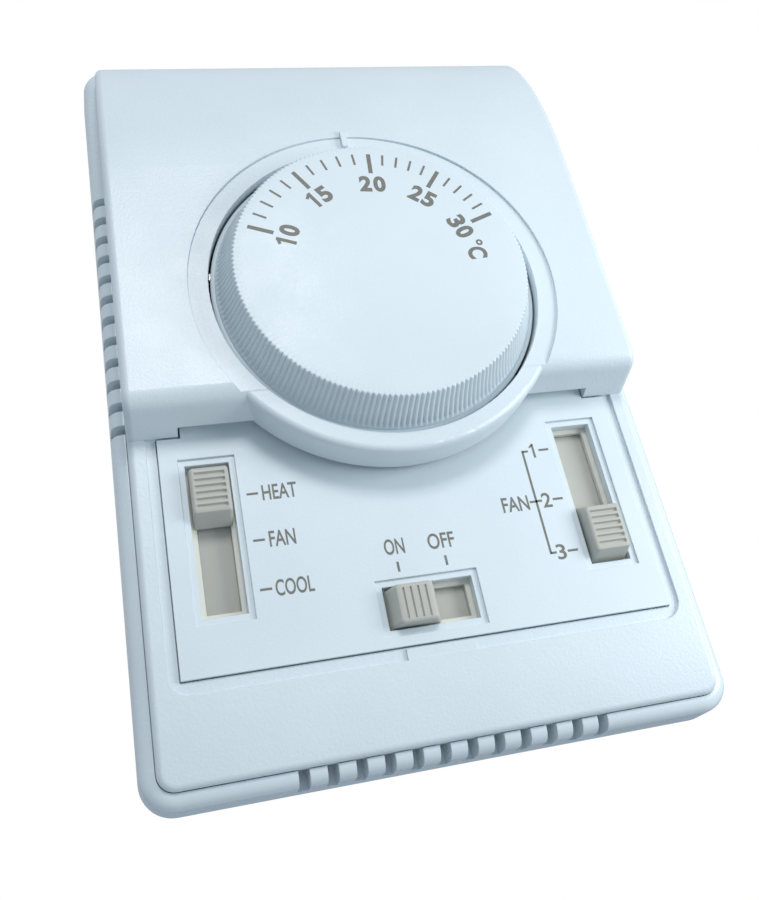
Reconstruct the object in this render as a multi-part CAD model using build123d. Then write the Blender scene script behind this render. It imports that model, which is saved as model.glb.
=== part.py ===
from build123d import *
import math
import os

# Room thermostat for a fan-coil unit: millimetres, upright as it hangs on a wall.
# Everything is modelled lying on its back (x right, y up the wall, z out of the wall)
# and stood up at the end, so that the wall is the plane Y = 0 and the front faces -Y.

# Driving dimensions -------------------------------------------------------------------
WIDTH = 88.0
TOP_Y = 66.6
BOTTOM_Y = -65.0
RIM_HEIGHT = 6.8
RIM_WIDTH = 2.75
WALL = 2.0
CORNER_RADIUS = 5.0
RIM_ROUNDING = 2.0
DRAFT_ANGLE = 5.0
SEAT_HEIGHT = 5.6

FACE_HEIGHT = 8.9
HOOD_HEIGHT = 16.5
HOOD_FOOT_Y = -12.5
CROWN_START_Y = 33.5
CROWN_REACH = 33.0
CROWN_DROP = 13.0

DIAL_X = 0.6
DIAL_Y = 8.5
COLLAR_RADIUS = 30.3
COLLAR_BORE = 27.2
COLLAR_RECESS = 0.4
COLLAR_ROUNDING = 1.0
COLLAR_FOOT = 10.1
TONGUE_HALF_WIDTH = 33.3
MOUTH_TOP = 10.9
MOUTH_TOP_Y = -10.2
MOUTH_LOW_Y = -14.0
LEDGE_WIDTH = 77.2
LEDGE_DEPTH = 0.5
TAB_HALF_WIDTH = 5.2

DIAL_LIP_RADIUS = 26.85
DIAL_FOOT_RADIUS = 26.1
DIAL_TOP_RADIUS = 23.8
DIAL_BOTTOM = 13.9
DIAL_EDGE = 21.1
DIAL_CROWN = 21.8
FLUTES = 180
FLUTE_DEPTH = 0.28

PLATE_HALF_WIDTH = 36.9
PLATE_BOTTOM_Y = -48.7
PLATE_THICKNESS = 1.6
SIDE_SLOT_X = 29.85
SIDE_SLOT_Y = -29.0
SIDE_SLOT = (6.6, 23.4)
POWER_SLOT_Y = -43.0
POWER_SLOT = (13.9, 6.4)
SIDE_TRAVEL = 13.5
POWER_TRAVEL = 5.4
SIDE_KNOB_LENGTH = 9.5
POWER_KNOB_LENGTH = 8.0
KNOB_HEIGHT = 10.9

BOARD_BOTTOM = 3.0
BOARD_TOP = 4.6
BOARD_HALF_WIDTH = 37.6
BOARD_BOTTOM_Y = -57.0
BOARD_TOP_Y = 47.0

VENT_COUNT = 12
VENT_PITCH = 4.0
VENT_WIDTH = 1.55
VENT_FLOOR = 2.6
SIDE_VENT_Y = 12.6

WALL_HOLE_X = 30.15
WALL_HOLE_Y = 28.0
WALL_HOLE_RADIUS = 2.2
WALL_SLOT_LENGTH = 7.0

LEVER_PIVOT_X = -24.0
LEVER_PIVOT_Z = 9.5
LEVER_BOTTOM = 9.0
LEVER_TOP = 10.0
PIN_RADIUS = 1.0
RUNNING_GAP = 0.05
SWITCH_X = 20.0

SPINDLE_RADIUS = 1.5
STOP_ANGLE = 74.6
BEZEL_MARGIN = 1.2

SWITCH_LOW_Y = -0.2
SWITCH_HIGH_Y = 12.6
SWITCH_FLOOR = 2.05
SWITCH_LID = 7.3
SWITCH_TOP = 8.3

TERMINAL_COUNT = 8
TERMINAL_PITCH = 7.4
TERMINAL_LOW_Y = 35.0
TERMINAL_HIGH_Y = 46.0
TERMINAL_TOP = 11.6

BOARD_SCREWS = [(-35.4, -55.2), (35.4, -55.2), (-34.0, 43.0), (34.0, 43.0)]
COVER_SCREWS = [(-20.0, -45.5), (20.0, -45.5)]
BRIDGE_SCREWS = [(-3.8, -7.2), (3.8, -7.2), (-3.6, 24.8), (3.6, 24.8)]
SWITCH_WINDOWS = [
    (-SIDE_SLOT_X, SIDE_SLOT_Y, *SIDE_SLOT),
    (SIDE_SLOT_X, SIDE_SLOT_Y, *SIDE_SLOT),
    (0.0, POWER_SLOT_Y, *POWER_SLOT),
]

# Sizes that follow from them ----------------------------------------------------------
BLOCK_X = WIDTH / 2 - RIM_WIDTH
BLOCK_BOTTOM_Y = BOTTOM_Y + RIM_WIDTH
BLOCK_TOP_Y = TOP_Y - RIM_WIDTH
INNER_X = BLOCK_X - WALL
INNER_BOTTOM_Y = BLOCK_BOTTOM_Y + WALL
INNER_TOP_Y = BLOCK_TOP_Y - WALL
POCKET_FLOOR = FACE_HEIGHT - PLATE_THICKNESS
LOW_CEILING = 6.2
COLLAR_TOP = HOOD_HEIGHT - COLLAR_RECESS
SIDE_SLIDER_Y = SIDE_SLOT_Y + SIDE_TRAVEL / 2
FAN_SLIDER_Y = SIDE_SLOT_Y - SIDE_TRAVEL / 2
POWER_SLIDER_X = -POWER_TRAVEL / 2


# Small helpers ------------------------------------------------------------------------
def block(x0, x1, y0, y1, z0, z1):
    """An upright box between two corners."""
    centre = Pos((x0 + x1) / 2, (y0 + y1) / 2, (z0 + z1) / 2)
    return centre * Box(x1 - x0, y1 - y0, z1 - z0)


def disc(x, y, radius, z0, z1):
    """A round post standing out of the wall."""
    return Pos(x, y, (z0 + z1) / 2) * Cylinder(radius, z1 - z0)


def ring(x, y, outer, inner, z0, z1):
    """A washer or tube standing out of the wall."""
    return disc(x, y, outer, z0, z1) - disc(x, y, inner, z0 - 1, z1 + 1)


def rounded_block(x, y, width, height, radius, z0, z1):
    """A plate with rounded corners."""
    return Pos(x, y, z0) * extrude(RectangleRounded(width, height, radius), z1 - z0)


def joined(pieces):
    """Separate solids kept side by side in one node."""
    return Compound(pieces)


def prism(face, half_width):
    """A side profile (y, z) pushed out both ways along x."""
    return extrude(Plane.YZ * face, half_width, both=True)


def on_axis(angle, radius):
    """A point on a circle about the dial's axis, angle in degrees from +x."""
    turn = math.radians(angle)
    return DIAL_X + radius * math.cos(turn), DIAL_Y + radius * math.sin(turn)


# Housing ------------------------------------------------------------------------------
def vent_cutters():
    """Vent slots through the rim on all four sides."""
    cutters = []
    top = RIM_HEIGHT + 1
    for index in range(VENT_COUNT):
        offset = (index - (VENT_COUNT - 1) / 2) * VENT_PITCH
        low, high = offset - VENT_WIDTH / 2, offset + VENT_WIDTH / 2
        for side in (-1, 1):
            edge = sorted((side * (INNER_X - 1), side * (WIDTH / 2 + 1)))
            cutters.append(block(*edge, SIDE_VENT_Y + low, SIDE_VENT_Y + high, VENT_FLOOR, top))
        cutters.append(block(low, high, BOTTOM_Y - 1, INNER_BOTTOM_Y + 1, VENT_FLOOR, top))
        cutters.append(block(low, high, INNER_TOP_Y - 1, TOP_Y + 1, VENT_FLOOR, top))
    return cutters


def rounded_between(half_width, low_y, high_y, radius, z0, z1):
    """A rounded plate between a low and a high edge."""
    return rounded_block(0, (low_y + high_y) / 2, 2 * half_width, high_y - low_y, radius, z0, z1)


def base_tray():
    """Back half: floor, drafted outer wall with a rounded rim, vents, bosses and wall holes."""
    gap = 0.1
    sheet = RectangleRounded(WIDTH, TOP_Y - BOTTOM_Y, CORNER_RADIUS)
    outline = Pos(0, (TOP_Y + BOTTOM_Y) / 2, 0) * sheet
    tray = extrude(outline, RIM_HEIGHT, taper=DRAFT_ANGLE)
    tray = fillet(tray.faces().sort_by(Axis.Z)[-1].edges(), RIM_ROUNDING)
    tray -= rounded_between(
        INNER_X + gap, INNER_BOTTOM_Y - gap, INNER_TOP_Y + gap, 1.5, WALL, RIM_HEIGHT + 1)
    tray -= rounded_between(
        BLOCK_X + gap, BLOCK_BOTTOM_Y - gap, BLOCK_TOP_Y + gap, 2.6, SEAT_HEIGHT, RIM_HEIGHT + 1)
    tray -= vent_cutters()
    for x, y in BOARD_SCREWS:
        tray += disc(x, y, 2.6, WALL - 0.5, BOARD_BOTTOM)
        tray -= disc(x, y, 0.9, 0.8, BOARD_BOTTOM + 1)
    for x, y in COVER_SCREWS:
        tray += disc(x, y, 3.0, WALL - 0.5, LOW_CEILING)
        tray -= disc(x, y, 1.2, 0.8, LOW_CEILING + 1)
    for side in (-1, 1):
        slot = SlotOverall(WALL_SLOT_LENGTH, 2 * WALL_HOLE_RADIUS)
        tray -= Pos(side * WALL_HOLE_X, WALL_HOLE_Y, -1) * extrude(slot, WALL + 2)
    tray -= rounded_block(0, 53.5, 40, 9.5, 1.5, -1, WALL + 1)
    return tray


def lower_block():
    """Lower half of the cover: a flat face that bends gently back at its bottom end."""
    bend_y = -50.7
    end_height = 7.9
    low_y = BLOCK_BOTTOM_Y
    foot = Line((low_y, SEAT_HEIGHT), (low_y, end_height))
    bend = TangentArc((bend_y, FACE_HEIGHT), (low_y, end_height), tangent=(-1, 0))
    face = Polyline((bend_y, FACE_HEIGHT), (0, FACE_HEIGHT), (0, SEAT_HEIGHT), (low_y, SEAT_HEIGHT))
    body = prism(make_face([foot, bend, face]), BLOCK_X)
    upright = body.edges().filter_by(Axis.Z).sort_by(Axis.Y)[:2]
    body = fillet(upright, 2.5)
    loop = []
    for edge in body.edges():
        centre = edge.center()
        if centre.Z > end_height - 0.05 and centre.Y < -0.1:
            loop.append(edge)
    return fillet(loop, 1.0)


def crown_height(y):
    """Height of the hood's rounded top end at this place up the wall."""
    share = (y - CROWN_START_Y) / CROWN_REACH
    return HOOD_HEIGHT - CROWN_DROP + CROWN_DROP * math.sqrt(1 - share * share)


def crown_angle():
    """Where the crown's ellipse meets the top end of the cover, as its own parameter in degrees."""
    return math.degrees(math.acos((BLOCK_TOP_Y - CROWN_START_Y) / CROWN_REACH))


def hood_block():
    """Upper half of the cover: flat face, rounded lower lip, elliptical top end."""
    lip_y = HOOD_FOOT_Y + 0.32 * (HOOD_HEIGHT - FACE_HEIGHT)
    lift = Polyline(
        (BLOCK_TOP_Y, crown_height(BLOCK_TOP_Y)),
        (BLOCK_TOP_Y, SEAT_HEIGHT),
        (HOOD_FOOT_Y, SEAT_HEIGHT),
        (HOOD_FOOT_Y, FACE_HEIGHT),
        (lip_y, HOOD_HEIGHT),
        (CROWN_START_Y, HOOD_HEIGHT),
    )
    crown = EllipticalCenterArc(
        (CROWN_START_Y, HOOD_HEIGHT - CROWN_DROP), CROWN_REACH, CROWN_DROP,
        start_angle=crown_angle(), arc_size=90 - crown_angle())
    profile = make_face([lift, crown])
    corner = profile.vertices().sort_by_distance(Vertex(lip_y, HOOD_HEIGHT, 0))[0]
    profile = fillet(corner, 3.0)
    body = prism(profile, BLOCK_X)
    sides = []
    for edge in body.edges():
        centre = edge.center()
        if abs(abs(centre.X) - BLOCK_X) < 0.01 and centre.Z > FACE_HEIGHT + 0.5:
            sides.append(edge)
    body = fillet(sides, 1.2)
    return body & rounded_between(BLOCK_X, BLOCK_BOTTOM_Y, BLOCK_TOP_Y, 2.5, 0, HOOD_HEIGHT + 1)


def cover_hollow():
    """The room inside the cover."""
    low = block(-INNER_X, INNER_X, INNER_BOTTOM_Y, -8.0, 0, LOW_CEILING)
    ceiling = HOOD_HEIGHT - WALL
    crown_base = HOOD_HEIGHT - CROWN_DROP
    lift = Polyline(
        (INNER_TOP_Y, crown_base),
        (INNER_TOP_Y, 0),
        (-9.0, 0),
        (-9.0, 12.5),
        (-7.0, ceiling),
        (CROWN_START_Y, ceiling),
    )
    crown = EllipticalCenterArc(
        (CROWN_START_Y, crown_base), INNER_TOP_Y - CROWN_START_Y, ceiling - crown_base,
        start_angle=0, arc_size=90)
    return low + prism(make_face([lift, crown]), INNER_X)


def front_cover():
    """Front shell: hood, lower face with the plate's pocket, dial collar and index rib."""
    cover = lower_block() + hood_block()
    outside = block(-40, 40, -40, HOOD_FOOT_Y + 3, POCKET_FLOOR, COLLAR_TOP)
    collar = disc(DIAL_X, DIAL_Y, COLLAR_RADIUS, COLLAR_FOOT, COLLAR_TOP)
    collar = fillet(collar.faces().sort_by(Axis.Z)[-1].edges(), COLLAR_ROUNDING)
    cover += collar & outside
    cover -= cover_hollow()
    cover += disc(DIAL_X, DIAL_Y, COLLAR_RADIUS - COLLAR_ROUNDING, 12.6, COLLAR_TOP - 0.1)
    cover -= disc(DIAL_X, DIAL_Y, COLLAR_RADIUS + 0.1, COLLAR_TOP, HOOD_HEIGHT + 1)
    cover -= disc(DIAL_X, DIAL_Y, COLLAR_BORE, 12.5, HOOD_HEIGHT + 1)
    below = block(-30, 30, -40, HOOD_FOOT_Y, FACE_HEIGHT, HOOD_HEIGHT)
    cover -= disc(DIAL_X, DIAL_Y, COLLAR_BORE, FACE_HEIGHT, HOOD_HEIGHT) & below

    ledge_bottom = PLATE_BOTTOM_Y - 2.0
    ledge_top = HOOD_FOOT_Y + 0.1
    ledge_height = FACE_HEIGHT - LEDGE_DEPTH
    above = FACE_HEIGHT + 0.05
    ledge = rounded_block(0, (ledge_bottom + 5) / 2, LEDGE_WIDTH, 5 - ledge_bottom, 3, ledge_height, above)
    cover -= ledge & block(-60, 60, -60, ledge_top, 0, above)
    cover += block(
        -TAB_HALF_WIDTH, TAB_HALF_WIDTH,
        ledge_bottom - 0.2, PLATE_BOTTOM_Y - 0.4,
        ledge_height - 0.1, FACE_HEIGHT - 0.12,
    )

    gap = 0.15
    cover -= block(
        -PLATE_HALF_WIDTH - gap, PLATE_HALF_WIDTH + gap,
        PLATE_BOTTOM_Y - gap, ledge_top,
        POCKET_FLOOR, FACE_HEIGHT + 0.05,
    )
    mouth_half_width = TONGUE_HALF_WIDTH + 0.3
    mouth = block(-mouth_half_width, mouth_half_width, MOUTH_LOW_Y, MOUTH_TOP_Y, POCKET_FLOOR, MOUTH_TOP)
    cover -= mouth - disc(DIAL_X, DIAL_Y, COLLAR_RADIUS, COLLAR_FOOT, MOUTH_TOP)
    for x, y, width, height in SWITCH_WINDOWS:
        cover -= block(
            x - width / 2 - BEZEL_MARGIN - 0.1, x + width / 2 + BEZEL_MARGIN + 0.1,
            y - height / 2 - BEZEL_MARGIN - 0.1, y + height / 2 + BEZEL_MARGIN + 0.1,
            LOW_CEILING - 1, POCKET_FLOOR + 1,
        )
    for x, y in COVER_SCREWS:
        cover -= disc(x, y, 1.6, LOW_CEILING - 1, POCKET_FLOOR + 1)
        cover -= disc(x, y, 2.6, LOW_CEILING + 0.1, POCKET_FLOOR + 1)
    for x in (-26, 26):
        cover += block(x - 3, x + 3, INNER_TOP_Y - 1.6, INNER_TOP_Y + 0.1, WALL + 0.3, LOW_CEILING + 0.4)
    rib_low = DIAL_Y + COLLAR_BORE + 0.7
    rib_x = DIAL_X - 0.3
    rib_top = HOOD_HEIGHT + 0.35
    cover += block(rib_x - 0.5, rib_x + 0.5, rib_low, rib_low + 3.4, COLLAR_TOP - 0.3, rib_top)
    return cover


def control_plate():
    """Flat printed insert with a framed slot for each slide switch."""
    plate = block(
        -PLATE_HALF_WIDTH, PLATE_HALF_WIDTH,
        PLATE_BOTTOM_Y, HOOD_FOOT_Y - 0.2,
        POCKET_FLOOR, FACE_HEIGHT,
    )
    plate += block(
        -TONGUE_HALF_WIDTH, TONGUE_HALF_WIDTH,
        MOUTH_LOW_Y, MOUTH_TOP_Y - 0.2,
        POCKET_FLOOR, FACE_HEIGHT,
    )
    for x, y, width, height in SWITCH_WINDOWS:
        frame_x, frame_y = width / 2 + 0.95, height / 2 + 1.0
        frame_floor, above = FACE_HEIGHT - 0.35, FACE_HEIGHT + 1
        plate -= block(x - frame_x, x + frame_x, y - frame_y, y + frame_y, frame_floor, above)
        plate -= block(x - width / 2, x + width / 2, y - height / 2, y + height / 2, 0, above)
    return plate


# Slide switches -----------------------------------------------------------------------
def switch_bezel(x, y, width, height):
    """Fixed guide frame seen as a raised lip inside a slot."""
    inset = 0.8
    bezel = block(
        x - width / 2 - BEZEL_MARGIN, x + width / 2 + BEZEL_MARGIN,
        y - height / 2 - BEZEL_MARGIN, y + height / 2 + BEZEL_MARGIN,
        LOW_CEILING, POCKET_FLOOR,
    )
    opening = block(
        x - width / 2 + inset, x + width / 2 - inset,
        y - height / 2 + inset, y + height / 2 - inset,
        0, FACE_HEIGHT,
    )
    relief = block(x - width / 2, x + width / 2, y - height / 2, y + height / 2, 7.0, FACE_HEIGHT)
    return bezel - opening - relief


def slider_cap(length):
    """Ridged finger block with sloping ends, long side along y, foot at z = 7.1."""
    foot_height = 7.15
    head_width = 5.8
    foot = Pos(0, 0, foot_height) * Rectangle(head_width - 0.3, length)
    head = Pos(0, 0, KNOB_HEIGHT - 0.3) * Rectangle(head_width, length - 2.4)
    cap = loft([foot, head]) + Pos(0, 0, KNOB_HEIGHT - 0.2) * Box(head_width, length - 2.4, 0.3)
    return cap


def slider(length, grooves, half_shutter, shutter_width):
    """Finger block, stem and the shutter that keeps the slot closed; long side along y."""
    cap = slider_cap(length)
    pitch = (length - 2.4) / (grooves + 1)
    for index in range(grooves):
        y = (index - (grooves - 1) / 2) * pitch
        cap -= block(-2.4, 2.4, y - 0.3, y + 0.3, KNOB_HEIGHT - 0.4, KNOB_HEIGHT + 1)
    stem = block(-2.2, 2.2, -length / 2 + 1.4, length / 2 - 1.4, 5.9, 7.3)
    shutter = block(-shutter_width / 2, shutter_width / 2, -half_shutter, half_shutter, 5.5, 6.1)
    return cap + stem + shutter


def wiper(positions):
    """Phosphor-bronze bridge under a shutter, with two sprung feet."""
    bridge = block(-2.4, 2.4, -4.0, 4.0, 5.3, 5.5)
    for x in (-1.6, 1.6):
        for y in positions:
            bridge += block(x - 0.6, x + 0.6, y - 0.7, y + 0.7, 4.8, 5.35)
    return bridge


def contact_pads(count, pitch, both_ways):
    """Fixed contact strips on the board; long side along y."""
    pads = []
    for index in range(count):
        y = (index - (count - 1) / 2) * pitch
        pads.append(block(-2.4, -0.5, y - 1.6, y + 1.6, BOARD_TOP, BOARD_TOP + 0.12))
    half = (count - 1) / 2 * pitch + 2.0
    pads.append(block(0.6, 2.4, -half - both_ways, half + both_ways, BOARD_TOP, BOARD_TOP + 0.12))
    return joined(pads)


# Dial and its spindle -----------------------------------------------------------------
def star(radius, height):
    """A fluted outline: one point on each crest and one in each valley."""
    points = []
    for index in range(2 * FLUTES):
        turn = math.pi * index / FLUTES
        reach = radius - FLUTE_DEPTH * (index % 2)
        points.append((reach * math.cos(turn), reach * math.sin(turn)))
    return Pos(0, 0, height) * make_face(Polyline(*points, close=True))


def dial_skirt():
    """Fluted side of the dial, narrower at the front."""
    foot = star(DIAL_FOOT_RADIUS, DIAL_BOTTOM + 0.8)
    edge = star(DIAL_TOP_RADIUS, DIAL_EDGE)
    return loft([foot, edge], ruled=True)


def dial_crown():
    """Gently domed front of the dial."""
    radius = DIAL_TOP_RADIUS - FLUTE_DEPTH - 0.1
    shoulder = DIAL_EDGE + 0.15
    under = Polyline((0, DIAL_CROWN), (0, DIAL_EDGE - 1), (radius, DIAL_EDGE - 1), (radius, shoulder))
    dome = TangentArc((0, DIAL_CROWN), (radius, shoulder), tangent=(1, 0))
    return revolve(Plane.XZ * make_face([under, dome]), Axis.Z)


def dial_hollow():
    """Room behind the dial, around its hub, its stiffening ribs and its stop lug."""
    hollow = Pos(0, 0, 16.5) * Cone(24.4, 21.8, 7.0)
    hollow -= Pos(0, 0, 19.1) * Cylinder(4.0, 4.0)
    for index in range(6):
        hollow -= Rot(0, 0, 60 * index + 30) * block(3.5, 24, -0.5, 0.5, 18.4, 21)
    return hollow - block(-1.0, 1.0, 19.0, 26.0, DIAL_BOTTOM + 0.1, 21)


def temperature_dial():
    """Fluted knob: thin lip, domed front, hub for the spindle and a stop lug."""
    lip = Pos(0, 0, DIAL_BOTTOM + 0.4) * Cylinder(DIAL_LIP_RADIUS, 0.8)
    dial = dial_skirt() + dial_crown() + lip - dial_hollow()
    return Pos(DIAL_X, DIAL_Y, 0) * dial - spindle_shaft(19.6)


def spindle_shaft(top):
    """The spindle's shaft with its drive flat."""
    shaft = disc(DIAL_X, DIAL_Y, SPINDLE_RADIUS, 11.2, top)
    return shaft - block(DIAL_X + 1.0, DIAL_X + 3, DIAL_Y - 3, DIAL_Y + 3, 17.05, 25)


def adjusting_spindle():
    """Turns with the dial and drives the spring seat along its thread."""
    return spindle_shaft(19.6) + disc(DIAL_X, DIAL_Y, 3.0, 16.45, 17.05)


def spindle_clip():
    """Retaining clip under the bridge."""
    clip = ring(DIAL_X, DIAL_Y, 2.9, SPINDLE_RADIUS, 15.05, 15.3)
    return clip - block(DIAL_X - 0.8, DIAL_X + 0.8, DIAL_Y - 4, DIAL_Y, 15, 15.4)


# Sensing mechanism --------------------------------------------------------------------
def mechanism_bridge():
    """Folded steel bridge over the capsule, carrying the spindle's bush."""
    half_width, leg, sheet = 6.0, 13.6, 1.2
    low_y, high_y = DIAL_Y - leg, DIAL_Y + leg
    bridge = block(-half_width, half_width, low_y, high_y, 15.4, 16.4)
    bridge += block(-half_width, half_width, low_y, low_y + sheet, BOARD_TOP, 16.4)
    bridge += block(-half_width, half_width, high_y - sheet, high_y, BOARD_TOP, 16.4)
    bridge += block(-half_width, half_width, low_y - 4.1, low_y + sheet, BOARD_TOP, BOARD_TOP + sheet)
    bridge += block(-half_width, half_width, high_y - sheet, high_y + 5.5, BOARD_TOP, BOARD_TOP + sheet)
    bridge -= disc(DIAL_X, DIAL_Y, 2.6, 15, 17)
    for x, y in BRIDGE_SCREWS:
        bridge -= disc(x, y, 1.1, BOARD_TOP - 1, BOARD_TOP + 3)
    return bridge


def spring_seat():
    """Threaded seat that the bridge's legs keep from turning."""
    seat = disc(DIAL_X, DIAL_Y, 4.4, 13.2, 14.4)
    seat += block(-2.5, 2.5, DIAL_Y - 12.25, DIAL_Y + 12.25, 13.6, 14.4)
    return seat - disc(DIAL_X, DIAL_Y, SPINDLE_RADIUS + RUNNING_GAP, 12, 16)


def range_spring():
    """Compression spring between the lever and its seat."""
    wire, coil_radius, bottom, top = 0.3, 2.6, 10.0, 13.2
    length = top - bottom - 2 * wire
    path = Helix(pitch=length / 3.5, height=length, radius=coil_radius)
    section = Plane(origin=path @ 0, z_dir=path % 0) * Circle(wire)
    return Pos(DIAL_X, DIAL_Y, bottom + wire) * sweep(section, path, is_frenet=True)


def sensing_capsule():
    """Vapour-filled capsule: two shallow corrugated shells welded at the rim."""
    half = [(0, 5.9), (0, 5.2), (11.0, 5.2), (12.2, 6.6), (12.2, 7.0), (11.0, 7.0),
            (10.0, 8.1), (8.6, 7.6), (7.2, 8.1), (5.8, 7.6), (4.4, 8.2), (0, 8.2)]
    face = make_face(Polyline(*half, close=True))
    return Pos(DIAL_X, DIAL_Y, 0) * revolve(Plane.XZ * face, Axis.Z)


def capsule_cup():
    """Pressed cup that holds the capsule on the board."""
    cup = ring(DIAL_X, DIAL_Y, 12.35, 12.25, 5.2, 6.4)
    return cup + disc(DIAL_X, DIAL_Y, 12.35, BOARD_TOP, 5.2)


def capsule_button():
    """Boss at the middle of the capsule, pushing the lever."""
    button = disc(DIAL_X, DIAL_Y, 2.2, 8.25, 8.6) + Pos(DIAL_X, DIAL_Y, 8.9) * Cone(1.2, 0.5, 1.2)
    return button - disc(DIAL_X, DIAL_Y, 5, LEVER_BOTTOM - 0.1, 12)


def lever_bracket():
    """Folded bracket with two ears for the lever's pin."""
    bracket = block(-28, -21.4, 1.0, 16.0, BOARD_TOP, BOARD_TOP + 1.0)
    for y in (2.0, 13.8):
        ear = block(-26, -22, y, y + 1.2, BOARD_TOP, 11.6)
        bracket += ear
    pin = Pos(LEVER_PIVOT_X, DIAL_Y, LEVER_PIVOT_Z) * Rot(90, 0, 0) * Cylinder(PIN_RADIUS + 0.01, 30)
    return bracket - pin


def lever_pin():
    """Pivot pin with a turned head."""
    pin = Rot(90, 0, 0) * Cylinder(PIN_RADIUS, 14.6)
    head = Pos(0, -7.6, 0) * Rot(90, 0, 0) * Cylinder(1.6, 0.8)
    return Pos(LEVER_PIVOT_X, DIAL_Y, LEVER_PIVOT_Z) * (pin + head)


def sensing_lever():
    """Arm that adds up the capsule's push and the spring's load and works the snap switch."""
    lever = block(LEVER_PIVOT_X, SWITCH_X + 2.5, 4.7, 12.3, LEVER_BOTTOM, LEVER_TOP)
    lever += Pos(LEVER_PIVOT_X, DIAL_Y, LEVER_PIVOT_Z) * Rot(90, 0, 0) * Cylinder(1.9, 7.6)
    pivot = Pos(LEVER_PIVOT_X, DIAL_Y, LEVER_PIVOT_Z) * Rot(90, 0, 0)
    bore = pivot * Cylinder(PIN_RADIUS + RUNNING_GAP, 20)
    lever -= bore
    for y in (4.7, 11.7):
        lever += block(-18, 16, y, y + 0.6, LEVER_TOP - 0.1, LEVER_TOP + 0.9)
    lever -= disc(SWITCH_X - 5, DIAL_Y, 1.2, LEVER_BOTTOM - 1, LEVER_TOP + 1)
    return lever


def calibration_screw():
    """Factory-set screw in the lever."""
    thread = disc(SWITCH_X - 5, DIAL_Y, 1.2, LEVER_BOTTOM - 0.4, LEVER_TOP)
    head = disc(SWITCH_X - 5, DIAL_Y, 2.0, LEVER_TOP, LEVER_TOP + 1.0)
    slot = block(SWITCH_X - 8, SWITCH_X - 2, DIAL_Y - 0.25, DIAL_Y + 0.25, LEVER_TOP + 0.5, 12)
    return thread + head - slot


# Snap switch ---------------------------------------------------------------------------
def snap_switch_case():
    """Open box of the snap switch, standing through the board."""
    case = block(SWITCH_X - 3, SWITCH_X + 3, SWITCH_LOW_Y, SWITCH_HIGH_Y, SWITCH_FLOOR, SWITCH_LID)
    return case - block(SWITCH_X - 2.2, SWITCH_X + 2.2, SWITCH_LOW_Y + 0.8, SWITCH_HIGH_Y - 0.8, 2.9, 9)


def snap_switch_lid():
    """Lid with the guide hole of the push button."""
    lid = block(SWITCH_X - 3, SWITCH_X + 3, SWITCH_LOW_Y, SWITCH_HIGH_Y, SWITCH_LID, SWITCH_TOP)
    return lid - disc(SWITCH_X, DIAL_Y, 1.0 + RUNNING_GAP, SWITCH_LID - 1, SWITCH_TOP + 1)


def snap_switch_button():
    """Push button that the lever presses."""
    button = disc(SWITCH_X, DIAL_Y, 1.0, 6.2, 8.7)
    return button + disc(SWITCH_X, DIAL_Y, 1.5, 5.9, 6.3) + disc(SWITCH_X, DIAL_Y, 0.6, 8.6, 8.88)


def snap_blade():
    """Moving contact blade inside the snap switch, hinged at its low end."""
    blade = block(SWITCH_X - 1.5, SWITCH_X + 1.5, 1.3, 11.0, 5.0, 5.25)
    return blade + disc(SWITCH_X, 10.2, 0.9, 4.6, 5.6)


def snap_switch_terminals():
    """Three terminal tags from the switch to the board."""
    common = block(SWITCH_X - 1.2, SWITCH_X + 1.2, 0.65, 1.2, 2.95, 5.5)
    closed = block(SWITCH_X - 1.2, SWITCH_X + 1.2, 9.6, 10.8, 2.95, 3.9)
    opened = block(SWITCH_X - 1.2, SWITCH_X + 1.2, 10.3, 11.6, 6.3, 6.9)
    tags = []
    for index in range(3):
        y = 2.2 + 3.6 * index
        tags.append(block(SWITCH_X + 3.0, SWITCH_X + 6.2, y - 0.8, y + 0.8, BOARD_TOP, BOARD_TOP + 0.5))
    return joined([common, closed, opened, *tags])


# Board and wiring ---------------------------------------------------------------------
def circuit_board():
    """Printed board with room for the wall screws, the snap switch and the cover bosses."""
    board = block(
        -BOARD_HALF_WIDTH, BOARD_HALF_WIDTH,
        BOARD_BOTTOM_Y, BOARD_TOP_Y,
        BOARD_BOTTOM, BOARD_TOP,
    )
    for side in (-1, 1):
        edge = sorted((side * (WALL_HOLE_X - 3), side * 40))
        board -= disc(side * (WALL_HOLE_X - 2), WALL_HOLE_Y, 6.0, 0, 10)
        board -= block(*edge, WALL_HOLE_Y - 6, WALL_HOLE_Y + 6, 0, 10)
    board -= block(SWITCH_X - 3.1, SWITCH_X + 3.1, SWITCH_LOW_Y - 0.1, SWITCH_HIGH_Y + 0.1, 0, 10)
    for x, y in COVER_SCREWS:
        board -= disc(x, y, 3.3, 0, 10)
    for x, y in BOARD_SCREWS:
        board -= disc(x, y, 1.2, 0, 10)
    for x, y in BRIDGE_SCREWS:
        board -= disc(x, y, 1.0, 0, 10)
    return board


def slotted_screws(places, shank, head, seat, length, head_height):
    """Slotted screws driven into the wall side, their heads on a seat."""
    screws = []
    for x, y in places:
        screw = disc(x, y, shank, seat - length, seat) + disc(x, y, head, seat, seat + head_height)
        slot = block(x - head - 1, x + head + 1, y - 0.3, y + 0.3, seat + head_height / 2, seat + 5)
        screws.append(screw - slot)
    return joined(screws)


def terminal_places():
    """Middle of each terminal along x."""
    return [(index - (TERMINAL_COUNT - 1) / 2) * TERMINAL_PITCH for index in range(TERMINAL_COUNT)]


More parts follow.
